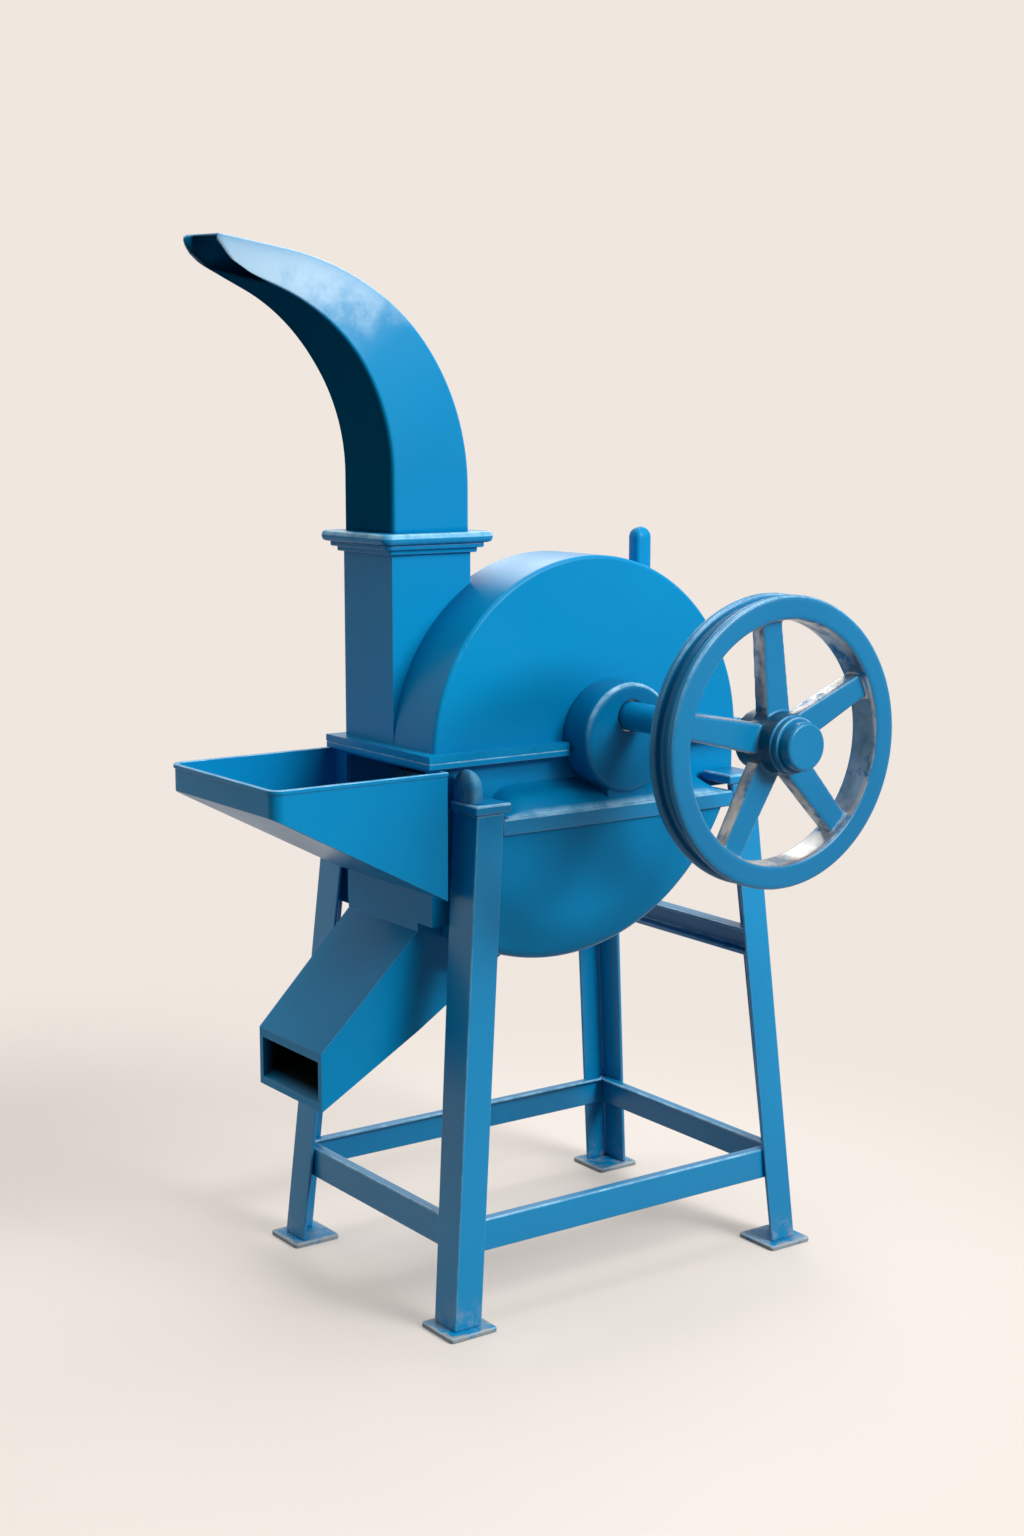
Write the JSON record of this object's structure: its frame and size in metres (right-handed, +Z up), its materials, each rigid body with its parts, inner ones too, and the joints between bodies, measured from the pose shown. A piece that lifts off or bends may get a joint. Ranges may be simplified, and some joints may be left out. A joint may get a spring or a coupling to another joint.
{
  "type": "chaff cutter",
  "caption": "Belt-driven chaff cutter on four leaning angle-iron legs: feed tray, knife rotor and fan in a hinged drum casing, tall curved spout and lower discharge chute.",
  "frame": {"origin": "on the floor under the middle of the bounding box", "axes": "+Z up, +X from the feed tray towards the rear end, +Y from the belt pulley towards the far side, so the pulley is at the -Y end of the shaft"},
  "size_m": [0.749, 0.6876, 1.2628],
  "materials": {
    "blue_paint": "satin",
    "blue_cast_iron": "satin",
    "bare_steel": "satin"
  },
  "bodies": {
    "frame": {"leg_feed_near": "blue_paint", "leg_feed_far": "blue_paint", "leg_rear_near": "blue_paint", "leg_rear_far": "blue_paint", "foot_plates": "blue_paint", "leg_caps": "blue_paint", "stretcher_near": "blue_paint", "stretcher_far": "blue_paint", "stretcher_feed": "blue_paint", "stretcher_rear": "blue_paint", "rail_near": "blue_paint", "rail_far": "blue_paint", "rear_channel": "blue_paint", "post_ear": "blue_paint", "lower_casing": "blue_paint", "catch_casing": "blue_paint", "discharge_chute": "blue_paint", "feed_tray": "blue_paint", "feed_bed": "bare_steel", "counter_knife": "bare_steel", "screen": "bare_steel", "hinge_base_leaves": "blue_paint", "hinge_pins": "bare_steel", "bearing_housing_near": "blue_cast_iron", "bearing_housing_far": "blue_cast_iron", "bearing_near": "bare_steel", "bearing_far": "bare_steel", "housing_bolts": "bare_steel"},
    "cover": {"upper_casing": "blue_paint", "cover_lug": "blue_paint", "duct_collar": "blue_paint", "spout_flange": "blue_paint", "spout": "blue_paint", "hinge_cover_leaves": "blue_paint"},
    "rotor": {"shaft": "blue_paint", "rotor_disc_near": "bare_steel", "rotor_disc_far": "bare_steel", "knife_blades": "bare_steel", "knife_bolts": "bare_steel", "fan_paddles": "bare_steel", "pulley": "blue_cast_iron", "pulley_key": "bare_steel", "hub_washer": "blue_cast_iron", "hub_cap": "blue_cast_iron"}
  },
  "joints": [
    {"name": "rotor_spin", "type": "hinge", "parent": "frame", "child": "rotor", "pos_m": [0.1085, 0.12975, 0.707], "axis": [0, 1, 0], "continuous": true},
    {"name": "cover_hinge", "type": "hinge", "parent": "frame", "child": "cover", "pos_m": [0.3428, 0.12975, 0.669], "axis": [0, 1, 0], "range_deg": [0, 100]}
  ]
}
